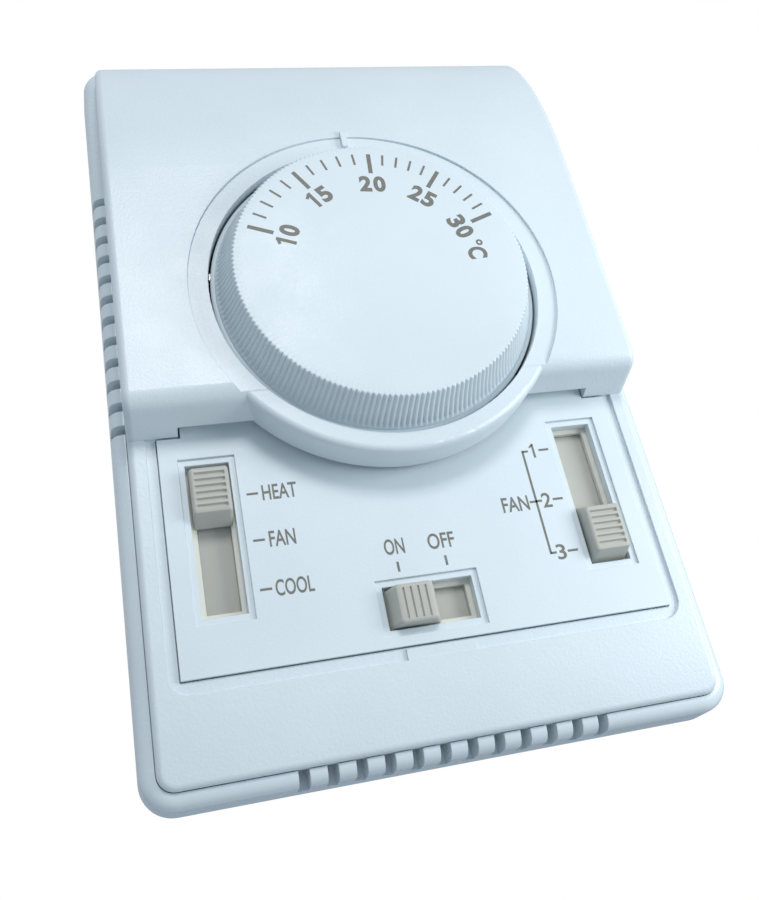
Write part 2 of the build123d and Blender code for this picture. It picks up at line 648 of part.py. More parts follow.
def terminal_block():
    """Insulating block with a well and a wire entry for each terminal."""
    half = TERMINAL_COUNT * TERMINAL_PITCH / 2 + 0.6
    body = block(-half, half, TERMINAL_LOW_Y, TERMINAL_HIGH_Y, BOARD_TOP, TERMINAL_TOP)
    low, high = TERMINAL_LOW_Y, TERMINAL_HIGH_Y
    for x in terminal_places():
        body -= block(x - 2.9, x + 2.9, low + 1.4, high - 1.6, BOARD_TOP + 1.0, TERMINAL_TOP + 1)
        body -= block(x - 2.0, x + 2.0, high - 3, high + 1, BOARD_TOP + 1.4, BOARD_TOP + 5.0)
    return body


def terminal_clamps():
    """Brass cage clamps."""
    clamps = []
    low, high = TERMINAL_LOW_Y, TERMINAL_HIGH_Y
    for x in terminal_places():
        clamp = block(x - 2.7, x + 2.7, low + 1.6, high - 1.8, BOARD_TOP + 1.0, TERMINAL_TOP - 2.2)
        clamp -= block(x - 1.8, x + 1.8, low, high + 1, BOARD_TOP + 1.7, BOARD_TOP + 3.6)
        clamps.append(clamp - disc(x, (low + high) / 2, 1.5, BOARD_TOP + 2, 20))
    return joined(clamps)


def anticipator():
    """Small heater resistor with bent leads, beside the capsule."""
    body = Pos(15.5, 24.0, 6.3) * Rot(0, 90, 0) * Cylinder(1.25, 6.4)
    leads = Pos(15.5, 24.0, 6.3) * Rot(0, 90, 0) * Cylinder(0.35, 10.0)
    for x in (10.85, 20.15):
        leads += disc(x, 24.0, 0.35, BOARD_TOP, 6.5)
    return body + leads


def range_stops():
    """Two stop pins that the dial's lug meets at the ends of the scale."""
    pins = []
    for angle in (90 - STOP_ANGLE, 90 + STOP_ANGLE):
        x, y = on_axis(angle, 20.6)
        pins.append(disc(x, y, 1.2, BOARD_TOP, 15.4))
    return joined(pins)


# Assembly -----------------------------------------------------------------------------
def side_slider(x, y):
    """A vertical slider moved to its resting place."""
    return Pos(x, y, 0) * slider(SIDE_KNOB_LENGTH, 6, 18.3, 6.4)


def turned(shape, x, y):
    """A part drawn along y, turned to lie along x."""
    return Pos(x, y, 0) * Rot(0, 0, 90) * shape


def build_nodes():
    """Every named piece, lying on its back."""
    mode, fan, power = SWITCH_WINDOWS
    return {
        "base_tray": base_tray(),
        "front_cover": front_cover(),
        "control_plate": control_plate(),
        "cover_screws": slotted_screws(COVER_SCREWS, 1.2, 2.4, LOW_CEILING + 0.1, 4.5, 0.9),
        "circuit_board": circuit_board(),
        "board_screws": slotted_screws(BOARD_SCREWS, 0.9, 1.8, BOARD_TOP, 3.2, 1.2),
        "terminal_block": terminal_block(),
        "terminal_clamps": terminal_clamps(),
        "terminal_screws": slotted_screws(
            [(x, (TERMINAL_LOW_Y + TERMINAL_HIGH_Y) / 2) for x in terminal_places()],
            1.5, 2.4, TERMINAL_TOP - 2.2, 2.6, 1.5),
        "mode_switch_guide": switch_bezel(*mode),
        "fan_switch_guide": switch_bezel(*fan),
        "power_switch_guide": switch_bezel(*power),
        "mode_switch_contacts": Pos(mode[0], mode[1], 0) * contact_pads(3, SIDE_TRAVEL / 2, 2.0),
        "fan_switch_contacts": Pos(fan[0], fan[1], 0) * contact_pads(3, SIDE_TRAVEL / 2, 2.0),
        "power_switch_contacts": turned(contact_pads(2, POWER_TRAVEL, 1.0), 0, POWER_SLOT_Y),
        "mode_slider": side_slider(-SIDE_SLOT_X, SIDE_SLIDER_Y),
        "mode_wiper": Pos(-SIDE_SLOT_X, SIDE_SLIDER_Y, 0) * wiper([0.0]),
        "fan_slider": side_slider(SIDE_SLOT_X, FAN_SLIDER_Y),
        "fan_wiper": Pos(SIDE_SLOT_X, FAN_SLIDER_Y, 0) * wiper([0.0]),
        "power_slider": turned(slider(POWER_KNOB_LENGTH, 4, 9.3, 6.2), POWER_SLIDER_X, POWER_SLOT_Y),
        "power_wiper": turned(wiper([0.0]), POWER_SLIDER_X, POWER_SLOT_Y),
        "temperature_dial": temperature_dial(),
        "adjusting_spindle": adjusting_spindle(),
        "spindle_clip": spindle_clip(),
        "spindle_bush": ring(DIAL_X, DIAL_Y, 2.6, SPINDLE_RADIUS + RUNNING_GAP, 15.4, 16.4),
        "mechanism_bridge": mechanism_bridge(),
        "bridge_screws": slotted_screws(BRIDGE_SCREWS, 1.0, 1.7, BOARD_TOP + 1.2, 2.7, 0.9),
        "spring_seat": spring_seat(),
        "range_spring": range_spring(),
        "sensing_capsule": sensing_capsule(),
        "capsule_cup": capsule_cup(),
        "capsule_button": capsule_button(),
        "sensing_lever": sensing_lever(),
        "calibration_screw": calibration_screw(),
        "lever_bracket": lever_bracket(),
        "lever_pin": lever_pin(),
        "snap_switch_case": snap_switch_case(),
        "snap_switch_lid": snap_switch_lid(),
        "snap_switch_button": snap_switch_button(),
        "snap_blade": snap_blade(),
        "snap_switch_terminals": snap_switch_terminals(),
        "anticipator": anticipator(),
        "range_stops": range_stops(),
    }


def write_parts():
    """Stand each piece up against the wall and write it."""
    os.makedirs("parts", exist_ok=True)
    for name, shape in build_nodes().items():
        export_step(Rot(90, 0, 0) * shape, f"parts/{name}.step")


write_parts()
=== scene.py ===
import math

import bpy
from mathutils import Matrix, Vector


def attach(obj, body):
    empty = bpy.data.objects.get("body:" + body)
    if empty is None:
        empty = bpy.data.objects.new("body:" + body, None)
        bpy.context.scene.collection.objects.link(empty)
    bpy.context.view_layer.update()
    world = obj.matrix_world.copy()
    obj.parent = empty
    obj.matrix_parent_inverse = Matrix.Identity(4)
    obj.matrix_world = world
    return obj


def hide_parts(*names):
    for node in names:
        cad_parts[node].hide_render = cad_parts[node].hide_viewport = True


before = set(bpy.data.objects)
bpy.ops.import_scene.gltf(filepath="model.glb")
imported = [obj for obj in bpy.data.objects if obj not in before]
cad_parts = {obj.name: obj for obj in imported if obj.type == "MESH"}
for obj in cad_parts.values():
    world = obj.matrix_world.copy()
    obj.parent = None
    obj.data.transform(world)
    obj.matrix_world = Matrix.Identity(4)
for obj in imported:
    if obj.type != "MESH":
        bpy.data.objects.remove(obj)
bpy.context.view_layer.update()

MM = 0.001

# Sizes shared with the casing, in millimetres: u right, v up the wall, w out of the wall.
DIAL_U = 0.6
DIAL_V = 8.5
FLUTES = 180
FLUTE_DEPTH = 0.32
FLUTE_STEPS = 8
SIDE_SLOT_U = 29.85
SIDE_SLOT_V = -29.0
SIDE_TRAVEL = 13.5
POWER_SLOT_V = -43.0
POWER_TRAVEL = 5.4
PLATE_W = 8.9
KNOB_FOOT_W = 7.15
KNOB_TOP_W = 10.9
KNOB_HALF_WIDTH = 2.9
SHUTTER_W = (5.5, 6.1)
STEM_W = (5.95, 7.25)
INK_THICKNESS = 0.03
DIGIT_GAP = 0.32

COOL_WHITE = (0.700, 0.775, 0.810)
KNOB_BEIGE = (0.500, 0.495, 0.445)
INK = (0.170, 0.165, 0.140)


def at(u, v, w):
    """A point given in wall millimetres, in the row frame's metres."""
    return Vector((u, -w, v)) * MM


# Materials ----------------------------------------------------------------------------
class Nodes:
    """A material's node tree, with short calls to add and link nodes."""

    def __init__(self, name):
        self.material = bpy.data.materials.new(name)
        self.material.use_nodes = True
        self.tree = self.material.node_tree
        self.shader = self.tree.nodes["Principled BSDF"]
        self.place = self.add("ShaderNodeTexCoord").outputs["Object"]

    def add(self, kind, **settings):
        node = self.tree.nodes.new(kind)
        for key, value in settings.items():
            setattr(node, key, value)
        return node

    def link(self, source, target):
        self.tree.links.new(source, target)

    def noise(self, scale, detail=3.0, stretch=None):
        """Noise of so many cells per metre, if asked stretched along the axes."""
        node = self.add("ShaderNodeTexNoise")
        node.inputs["Scale"].default_value = scale
        node.inputs["Detail"].default_value = detail
        source = self.place
        if stretch:
            mapping = self.add("ShaderNodeMapping")
            mapping.inputs["Scale"].default_value = stretch
            self.link(source, mapping.inputs["Vector"])
            source = mapping.outputs["Vector"]
        self.link(source, node.inputs["Vector"])
        return node.outputs["Fac"]

    def ranged(self, source, low, high, start=0.3, stop=0.7):
        """A value mapped from start..stop to low..high."""
        node = self.add("ShaderNodeMapRange")
        node.inputs["From Min"].default_value = start
        node.inputs["From Max"].default_value = stop
        node.inputs["To Min"].default_value = low
        node.inputs["To Max"].default_value = high
        self.link(source, node.inputs["Value"])
        return node.outputs["Result"]

    def blended(self, factor, first, second):
        """Two colours mixed by a factor; each is a colour or a socket."""
        node = self.add("ShaderNodeMix", data_type="RGBA")
        self.link(factor, node.inputs["Factor"])
        for value, socket in ((first, node.inputs["A"]), (second, node.inputs["B"])):
            if isinstance(value, tuple):
                socket.default_value = (*value, 1.0)
            else:
                self.link(value, socket)
        return node.outputs["Result"]

    def combined(self, operation, first, second):
        """Two values put together; each is a number or a socket."""
        node = self.add("ShaderNodeMath", operation=operation)
        for value, socket in zip((first, second), node.inputs):
            if isinstance(value, float):
                socket.default_value = value
            else:
                self.link(value, socket)
        return node.outputs["Value"]

    def bumped(self, height, distance, strength=1.0, normal=None):
        """A normal roughened by a height in metres."""
        node = self.add("ShaderNodeBump")
        node.inputs["Strength"].default_value = strength
        node.inputs["Distance"].default_value = distance
        self.link(height, node.inputs["Height"])
        if normal:
            self.link(normal, node.inputs["Normal"])
        return node.outputs["Normal"]

    def edge_mask(self, radius):
        """Near 1 on edges and 0 on flat faces, with the rounded normal; the edges it marks get a painted
        highlight in colour, and in plastic also lower roughness for rubbed wear.
        """
        bevel = self.add("ShaderNodeBevel", samples=4)
        bevel.inputs["Radius"].default_value = radius
        flat = self.add("ShaderNodeNewGeometry").outputs["Normal"]
        dot = self.add("ShaderNodeVectorMath", operation="DOT_PRODUCT")
        self.link(bevel.outputs["Normal"], dot.inputs[0])
        self.link(flat, dot.inputs[1])
        return self.ranged(dot.outputs["Value"], 1.0, 0.0, 0.86, 0.995), bevel.outputs["Normal"]


def scaled(colour, share):
    """A colour made lighter or darker."""
    return tuple(min(1.0, channel * share) for channel in colour)


def plastic(name, colour, rough, grain, grain_cells, sheen=0.0, edge=0.0002, waves=0.00001):
    """Moulded plastic: fine grain, faint mottling, and edges that are both shinier from rubbed wear and
    lightened as a painted highlight.
    """
    nodes = Nodes(name)
    mask, rounded = nodes.edge_mask(edge)
    mottle = nodes.ranged(nodes.noise(55.0, 4.0), 0.0, 1.0)
    base = nodes.blended(mottle, scaled(colour, 0.975), scaled(colour, 1.02))
    fine = nodes.noise(grain_cells, 2.0)
    speck = nodes.ranged(fine, 0.0, 0.16, 0.62, 0.80)
    base = nodes.blended(speck, base, scaled(colour, 1.12))
    # Edges lightened in colour: a painted highlight. The roughness drop below is rubbed wear.
    nodes.link(nodes.blended(nodes.combined("MULTIPLY", mask, 0.35), base, scaled(colour, 1.08)),
               nodes.shader.inputs["Base Color"])
    wander = nodes.ranged(nodes.noise(130.0, 4.0), rough * 0.9, rough * 1.12)
    grainy = nodes.combined("ADD", wander, nodes.ranged(fine, -0.04, 0.04))
    rubbed = nodes.combined("MULTIPLY", mask, -0.3 * rough)
    nodes.link(nodes.combined("ADD", grainy, rubbed), nodes.shader.inputs["Roughness"])
    coarse = nodes.bumped(nodes.noise(260.0, 2.0), waves, 0.35, rounded)
    nodes.link(nodes.bumped(fine, grain, 1.0, coarse), nodes.shader.inputs["Normal"])
    nodes.shader.inputs["IOR"].default_value = 1.46
    nodes.shader.inputs["Coat Weight"].default_value = sheen
    nodes.shader.inputs["Coat Roughness"].default_value = 0.18
    return nodes.material


def metal(name, colour, rough, stretch=(1.0, 1.0, 14.0), tarnish=0.8):
    """Bare or plated metal: drawn grain, tarnish in patches and edges brightened as a painted highlight."""
    nodes = Nodes(name)
    mask, rounded = nodes.edge_mask(0.00015)
    patches = nodes.ranged(nodes.noise(160.0, 5.0), 0.0, 1.0)
    base = nodes.blended(patches, scaled(colour, tarnish), colour)
    # Edges brightened in colour: a painted highlight.
    nodes.link(nodes.blended(mask, base, scaled(colour, 1.2)), nodes.shader.inputs["Base Color"])
    drawn = nodes.noise(900.0, 3.0, stretch)
    uneven = nodes.ranged(drawn, rough * 0.75, rough * 1.25)
    worn = nodes.combined("MULTIPLY", patches, -0.25 * rough)
    nodes.link(nodes.combined("ADD", uneven, worn), nodes.shader.inputs["Roughness"])
    nodes.link(nodes.bumped(drawn, 0.00001, 0.6, rounded), nodes.shader.inputs["Normal"])
    nodes.shader.inputs["Metallic"].default_value = 1.0
    return nodes.material


def laminate(name, colour):
    """Circuit board laminate: paper fibre, resin patches and a cut edge."""
    nodes = Nodes(name)
    fibre = nodes.noise(700.0, 4.0, (1.0, 1.0, 6.0))
    resin = nodes.noise(60.0, 3.0)
    base = nodes.blended(nodes.ranged(fibre, 0.0, 1.0), scaled(colour, 0.8), scaled(colour, 1.15))
    tint = nodes.ranged(resin, 0.0, 0.5)
    nodes.link(nodes.blended(tint, base, scaled(colour, 1.3)), nodes.shader.inputs["Base Color"])
    nodes.link(nodes.ranged(resin, 0.35, 0.55), nodes.shader.inputs["Roughness"])
    nodes.link(nodes.bumped(fibre, 0.00003, 0.6), nodes.shader.inputs["Normal"])
    return nodes.material


def ink(name, colour):
    """Pad-printed ink: slightly uneven cover and a matt surface."""
    nodes = Nodes(name)
    cover = nodes.noise(2600.0, 3.0)
    nodes.link(nodes.blended(nodes.ranged(cover, 0.0, 1.0), scaled(colour, 0.85), scaled(colour, 1.25)),
               nodes.shader.inputs["Base Color"])
    nodes.link(nodes.ranged(cover, 0.42, 0.6), nodes.shader.inputs["Roughness"])
    nodes.link(nodes.bumped(cover, 0.00001, 0.5), nodes.shader.inputs["Normal"])
    return nodes.material


def studio_floor(name):
    """Pale matt floor."""
    nodes = Nodes(name)
    cloud = nodes.ranged(nodes.noise(3.0, 2.0), 0.0, 1.0)
    base = nodes.blended(cloud, (0.84, 0.85, 0.86), (0.87, 0.88, 0.89))
    nodes.link(base, nodes.shader.inputs["Base Color"])
    nodes.shader.inputs["Roughness"].default_value = 0.8
    return nodes.material


MATERIALS = {
    "tray": plastic("tray_gloss_white", COOL_WHITE, 0.24, 0.000003, 1500.0, 0.25, 0.0002, 0.000002),
    "cover": plastic("cover_satin_white", COOL_WHITE, 0.36, 0.000040, 2300.0, 0.10),
    "plate": plastic("plate_satin_white", scaled(COOL_WHITE, 1.01), 0.40, 0.000018, 2600.0),
    "dial": plastic("dial_satin_white", scaled(COOL_WHITE, 1.01), 0.38, 0.000030, 2900.0, 0.0, 0.00003),
    "knob": plastic("knob_beige", KNOB_BEIGE, 0.45, 0.000010, 2400.0, 0.0, 0.0001),
    # The guides use the knobs' beige made 1.45 times lighter: painted light against the shade in the slots.
    "guide": plastic("guide_beige_painted_light", scaled(KNOB_BEIGE, 1.45), 0.45, 0.000008, 2400.0),
    "grey": plastic("terminal_grey", (0.20, 0.215, 0.225), 0.5, 0.000012, 1800.0),
    "black": plastic("switch_black", (0.022, 0.022, 0.024), 0.42, 0.000010, 1800.0),
    "red": plastic("button_red", (0.35, 0.03, 0.02), 0.3, 0.000004, 1500.0),
    "resistor": plastic("resistor_tan", (0.35, 0.20, 0.09), 0.3, 0.000010, 1200.0),
    "board": laminate("board_laminate", (0.20, 0.115, 0.045)),
    "zinc": metal("zinc_plate", (0.60, 0.60, 0.57), 0.34),
    "screw": metal("screw_zinc", (0.58, 0.58, 0.56), 0.3, (1.0, 1.0, 1.0)),
    "spring": metal("spring_steel", (0.44, 0.44, 0.45), 0.28, (1.0, 1.0, 1.0)),
    "capsule": metal("capsule_steel", (0.66, 0.65, 0.62), 0.24, (1.0, 1.0, 1.0), 0.9),
    "brass": metal("machined_brass", (0.70, 0.52, 0.22), 0.28, (14.0, 1.0, 1.0)),
    "bronze": metal("phosphor_bronze", (0.62, 0.38, 0.20), 0.32),
    "ink": ink("legend_ink", INK),
}

NODE_MATERIALS = {
    "tray": ["base_tray"],
    "cover": ["front_cover"],
    "plate": ["control_plate"],
    "dial": ["temperature_dial"],
    "knob": ["mode_slider", "fan_slider", "power_slider"],
    "guide": ["mode_switch_guide", "fan_switch_guide", "power_switch_guide"],
    "grey": ["terminal_block"],
    "black": ["snap_switch_case", "snap_switch_lid"],
    "red": ["snap_switch_button"],
    "resistor": ["anticipator"],
    "board": ["circuit_board"],
    "zinc": ["mechanism_bridge", "capsule_cup", "sensing_lever", "lever_bracket"],
    "screw": ["cover_screws", "board_screws", "terminal_screws", "bridge_screws"],
    "spring": ["spindle_clip", "range_spring", "lever_pin", "range_stops"],
    "capsule": ["sensing_capsule"],
    "brass": ["adjusting_spindle", "spindle_bush", "spring_seat", "capsule_button", "calibration_screw",
              "terminal_clamps"],
    "bronze": ["mode_switch_contacts", "fan_switch_contacts", "power_switch_contacts", "mode_wiper",
               "fan_wiper", "power_wiper", "snap_blade", "snap_switch_terminals"],
}


def dress_cad_nodes():
    """Each carried-over CAD node gets its own material."""
    for key, names in NODE_MATERIALS.items():
        for name in names:
            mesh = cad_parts[name].data
            mesh.materials.clear()
            mesh.materials.append(MATERIALS[key])
            for polygon in mesh.polygons:
                polygon.material_index = 0


# Mesh helpers -------------------------------------------------------------------------
def piece(name, points, faces, material, body, sharp=35.0):
    """A mesh object from points in wall millimetres, riding on a body."""
    mesh = bpy.data.meshes.new(name)
    mesh.from_pydata([at(*point) for point in points], [], faces)
    mesh.validate()
    mesh.shade_smooth()
    mesh.set_sharp_from_angle(angle=math.radians(sharp))
    mesh.materials.append(MATERIALS[material])
    made = bpy.data.objects.new(name, mesh)
    bpy.context.scene.collection.objects.link(made)
    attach(made, body)
    return made


class Shape:
    """Points and faces gathered for one piece."""

    def __init__(self):
        self.points = []
        self.faces = []

    def grid(self, rows, close_rows=False, close_columns=False):
        """Quads between rows of points; rows all have the same length."""
        start, width = len(self.points), len(rows[0])
        for row in rows:
            self.points.extend(row)
        row_count = len(rows) if close_rows else len(rows) - 1
        column_count = width if close_columns else width - 1
        for row in range(row_count):
            for column in range(column_count):
                across = (column + 1) % width
                below = (row + 1) % len(rows)
                self.faces.append([
                    start + row * width + column,
                    start + row * width + across,
                    start + below * width + across,
                    start + below * width + column,
                ])
        return start

    def cap(self, indices, flipped=False):
        """One face over a ring of points."""
        self.faces.append(list(reversed(indices)) if flipped else list(indices))

    def rounded_slab(self, u0, u1, v0, v1, w0, w1, radius):
        """A plate with softened edges."""
        rows = []
        steps = ((w0, radius), (w0 + radius, 0.0), (w1 - radius, 0.0), (w1 - 0.3 * radius, 0.3 * radius),
                 (w1, radius))
        for height, inset in steps:
            rows.append(slab_ring(u0 + inset, u1 - inset, v0 + inset, v1 - inset, height))
        start = self.grid(rows, close_columns=True)
        width = len(rows[0])
        self.cap(range(start, start + width), True)
        last = start + width * (len(rows) - 1)
        self.cap(range(last, last + width))


def slab_ring(u0, u1, v0, v1, w):
    """The four corners of a level rectangle."""
    return [(u0, v0, w), (u1, v0, w), (u1, v1, w), (u0, v1, w)]


# Dial ---------------------------------------------------------------------------------
def dial_height(radius):
    """Height of the domed front at a distance from the axis."""
    crown, shoulder, reach = 21.8, 21.25, 23.4
    return crown - (crown - shoulder) * (radius / reach) ** 2


def flute_dip(turn):
    """How far a flute's round back falls away at this turn, from 0 on the crest to 1 in the groove."""
    return 1.0 - abs(math.cos(0.5 * FLUTES * turn))


def dial_profile():
    """The dial's section from its hub round the outside: radius, height, share of the flutes."""
    inside = [
        (0.05, 19.6, 0.0), (1.6, 19.6, 0.0), (1.6, 17.1, 0.0), (4.0, 17.1, 0.0), (4.0, 19.95, 0.0),
        (21.9, 19.95, 0.0), (24.5, 13.92, 0.0),
    ]
    lip = [
        (26.5, 13.92, 0.0), (26.75, 13.98, 0.0), (26.83, 14.14, 0.0), (26.83, 14.42, 0.0),
        (26.75, 14.58, 0.0), (26.5, 14.67, 0.0), (26.16, 14.72, 0.0), (26.1, 14.95, 0.0),
    ]
    skirt = [
        (25.96, 15.20, 0.25), (25.86, 15.42, 0.8), (25.78, 15.60, 1.0), (24.80, 18.05, 1.0),
        (23.90, 20.80, 1.0), (23.80, 21.08, 1.0), (23.68, 21.20, 0.9), (23.52, 21.24, 0.45),
    ]
    crown = []
    for radius in (23.36, 22.0, 19.0, 15.0, 10.0, 5.0, 0.05):
        crown.append((radius, dial_height(radius), 0.0))
    return inside + lip + skirt + crown


def fluted_dial():
    """Temperature knob: smooth lip, fine rounded flutes broken into the rim, domed front."""
    columns = FLUTES * FLUTE_STEPS
    rows = []
    for radius, height, share in dial_profile():
        row = []
        for column in range(columns):
            turn = 2 * math.pi * column / columns
            reach = radius - FLUTE_DEPTH * share * flute_dip(turn)
            row.append((DIAL_U + reach * math.cos(turn), DIAL_V + reach * math.sin(turn), height))
        rows.append(row)
    shape = Shape()
    start = shape.grid(rows, close_columns=True)
    shape.cap(range(start, start + columns), True)
    last = start + columns * (len(rows) - 1)
    shape.cap(range(last, last + columns))
    made = piece("fluted_dial", shape.points, shape.faces, "dial", "dial", 50.0)
    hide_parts("temperature_dial")


# Printing -----------------------------------------------------------------------------
def glyph_outline(text, weight=0.0):
    """A word as a flat mesh with a little thickness, in font units."""
    curve = bpy.data.curves.new("word", "FONT")
    curve.body = text
    curve.size = 1.0
    curve.extrude = 0.5
    curve.offset = weight
    curve.resolution_u = 6
    holder = bpy.data.objects.new("word", curve)
    bpy.context.scene.collection.objects.link(holder)
    bpy.context.view_layer.update()
    mesh = bpy.data.meshes.new_from_object(holder)
    points = [tuple(vertex.co) for vertex in mesh.vertices]
    faces = [list(polygon.vertices) for polygon in mesh.polygons]
    bpy.data.objects.remove(holder)
    bpy.data.meshes.remove(mesh)
    bpy.data.curves.remove(curve)
    return points, faces


def fitted(text, width, height, weight=0.0):
    """A word scaled to fill a width and height about its own middle, thickness from 0 to 1."""
    points, faces = glyph_outline(text, weight)
    low = [min(point[axis] for point in points) for axis in range(3)]
    high = [max(point[axis] for point in points) for axis in range(3)]
    made = []
    for x, y, z in points:
        made.append((
            ((x - low[0]) / (high[0] - low[0]) - 0.5) * width,
            ((y - low[1]) / (high[1] - low[1]) - 0.5) * height,
            (z - low[2]) / (high[2] - low[2]),
        ))
    return made, faces


def add_word(shape, text, width, height, middle, turn, surface, weight=0.0):
    """Sets a word on a surface, turned about the wall's normal."""
    points, faces = fitted(text, width, height, weight)
    start = len(shape.points)
    cosine, sine = math.cos(turn), math.sin(turn)
    for x, y, lift in points:
        u = middle[0] + x * cosine - y * sine
        v = middle[1] + x * sine + y * cosine
        shape.points.append((u, v, surface(u, v) + INK_THICKNESS * (lift - 0.3)))
    shape.faces.extend([start + index for index in face] for face in faces)


def add_stroke(shape, first, second, width, surface):
    """Sets a straight printed line on a surface, in short steps so that it follows it."""
    along = Vector((second[0] - first[0], second[1] - first[1]))
    side = Vector((-along.y, along.x)).normalized() * width / 2
    rows = []
    for step in range(5):
        middle = Vector(first) + along * step / 4
        left, right = middle + side, middle - side
        low = -0.3 * INK_THICKNESS
        high = 0.7 * INK_THICKNESS
        rows.append([
            (left.x, left.y, surface(*left) + low), (right.x, right.y, surface(*right) + low),
            (right.x, right.y, surface(*right) + high), (left.x, left.y, surface(*left) + high),
        ])
    start = shape.grid(rows, close_columns=True)
    shape.cap(range(start, start + 4), True)
    last = start + 4 * (len(rows) - 1)
    shape.cap(range(last, last + 4))


def on_dial(u, v):
    """Height of the dial's front."""
    return dial_height(math.hypot(u - DIAL_U, v - DIAL_V))


def on_plate(u, v):
    """Height of the control plate."""
    return PLATE_W


def turned(middle, turn, x, y):
    """A point given about a word's middle, turned with the word."""
    cosine, sine = math.cos(turn), math.sin(turn)
    return middle[0] + x * cosine - y * sine, middle[1] + x * sine + y * cosine


def add_number(shape, text, digit, height, middle, turn, surface, weight, stroke):
    """Sets a number digit by digit; a one is a stem with a flag."""
    pitch = digit + DIGIT_GAP
    for index, character in enumerate(text):
        x = (index - (len(text) - 1) / 2) * pitch
        if character != "1":
            add_word(shape, character, digit, height, turned(middle, turn, x, 0.0), turn, surface, weight)
            continue
        stem, half = x + 0.12 * digit, height / 2
        foot, head = turned(middle, turn, stem, -half), turned(middle, turn, stem, half)
        add_stroke(shape, foot, head, stroke, surface)
        flag = turned(middle, turn, stem - 0.42 * digit, 0.48 * half)
        add_stroke(shape, flag, turned(middle, turn, stem, 0.86 * half), 0.8 * stroke, surface)


MAJOR_TICKS = [("10", 158.0), ("15", 121.8), ("20", 85.4), ("25", 53.5), ("30", 22.7)]
MINOR_STEPS = 5


def around_dial(angle, radius):
    """A point on the dial, angle in degrees from its right."""
    turn = math.radians(angle)
    return DIAL_U + radius * math.cos(turn), DIAL_V + radius * math.sin(turn)


def temperature_scale():
    """Ticks and numbers printed on the dial."""
    shape = Shape()
    outer, inner, short = 22.0, 17.8, 19.7
    number_radius, digit, height = 15.5, 2.05, 3.3
    angles = [angle for _, angle in MAJOR_TICKS]
    for angle in angles:
        add_stroke(shape, around_dial(angle, inner), around_dial(angle, outer), 0.7, on_dial)
    for first, second in zip(angles, angles[1:]):
        for step in range(1, MINOR_STEPS):
            angle = first + (second - first) * step / MINOR_STEPS
            add_stroke(shape, around_dial(angle, short), around_dial(angle, outer), 0.37, on_dial)
    for text, angle in MAJOR_TICKS:
        turn = math.radians(angle - 90)
        add_number(shape, text, digit, height, around_dial(angle, number_radius), turn, on_dial, 0.042, 0.6)
    unit_angle = 5.0
    turn = math.radians(unit_angle - 90)
    middle = around_dial(unit_angle, number_radius + 0.4)
    add_word(shape, "C", 2.3, height, turned(middle, turn, 0.75, 0.0), turn, on_dial, 0.036)
    add_word(shape, "o", 1.15, 1.15, turned(middle, turn, -1.2, 1.0), turn, on_dial, 0.036)
    piece("temperature_scale", shape.points, shape.faces, "ink", "dial", 30.0)


def switch_legends():
    """Words, numbers and pointer lines printed on the plate."""
    shape = Shape()
    cap_height, weight, line = 2.45, 0.014, 0.36
    for text, left, right, v in (
        ("HEAT", -22.24, -16.97, -23.0),
        ("FAN", -22.2, -18.3, -30.31),
        ("COOL", -22.34, -16.73, -37.72),
        ("FAN", 14.53, 18.98, -29.7),
    ):
        add_word(shape, text, right - left, cap_height, ((left + right) / 2, v), 0.0, on_plate, weight)
    for v in (-23.0, -30.31, -37.72):
        add_stroke(shape, (-24.57, v), (-22.84, v), line, on_plate)
    for text, u, width in (("ON", -3.89, 3.1), ("OFF", 3.48, 4.2)):
        add_word(shape, text, width, cap_height, (u, -33.92), 0.0, on_plate, weight)
    for u in (-3.87, 3.60):
        add_stroke(shape, (u, -36.3), (u, -37.84), line, on_plate)
    bracket = 20.3
    for text, v, width in (("1", -21.13, 1.4), ("2", -29.67, 1.55), ("3", -38.22, 1.5)):
        add_number(shape, text, width, cap_height, (22.03, v), 0.0, on_plate, weight, line)
        add_stroke(shape, (23.1, v), (24.8, v), line, on_plate)
        add_stroke(shape, (bracket, v), (bracket + 0.95, v), line, on_plate)
    add_stroke(shape, (bracket, -20.97), (bracket, -38.38), line, on_plate)
    add_stroke(shape, (19.2, -29.7), (bracket, -29.7), line, on_plate)
    piece("switch_legends", shape.points, shape.faces, "ink", "housing", 30.0)


# Slide switch knobs -------------------------------------------------------------------
GROOVE_SECTION = ((-0.5, 0.0), (-0.42, 0.25), (-0.3, 0.85), (-0.1, 1.0), (0.2, 0.9), (0.5, 0.0))


def knob_profile(length, top_length, ribs, share):
    """The finger piece's side view along its travel: distance and height, with its grooves."""
    grooves, groove_width, groove_depth = ribs
    foot, top, round_off = KNOB_FOOT_W, KNOB_TOP_W, 0.3
    half, half_top = length / 2, top_length / 2
    points = [
        (-half, foot), (-half_top - 0.08, top - round_off),
        (-half_top + 0.1, top - 0.08), (-half_top + round_off, top),
    ]
    pitch = top_length / (grooves + 1)
    depth = groove_depth * share
    for index in range(grooves):
        middle = (index - (grooves - 1) / 2) * pitch
        for offset, dip in GROOVE_SECTION:
            points.append((middle + offset * groove_width, top - depth * dip))
    points += [
        (half_top - round_off, top), (half_top - 0.1, top - 0.08),
        (half_top + 0.08, top - round_off), (half, foot),
    ]
    return points


# Across the finger piece: place from side to side, inset of the side view, share of the grooves.
KNOB_LAYERS = [
    (-1.0, 0.42, 0.0), (-0.965, 0.18, 0.0), (-0.90, 0.05, 0.0), (-0.86, 0.0, 0.0),
    (-0.80, 0.0, 0.0), (-0.74, 0.0, 1.0), (0.74, 0.0, 1.0), (0.80, 0.0, 0.0),
    (0.86, 0.0, 0.0), (0.90, 0.05, 0.0), (0.965, 0.18, 0.0), (1.0, 0.42, 0.0),
]


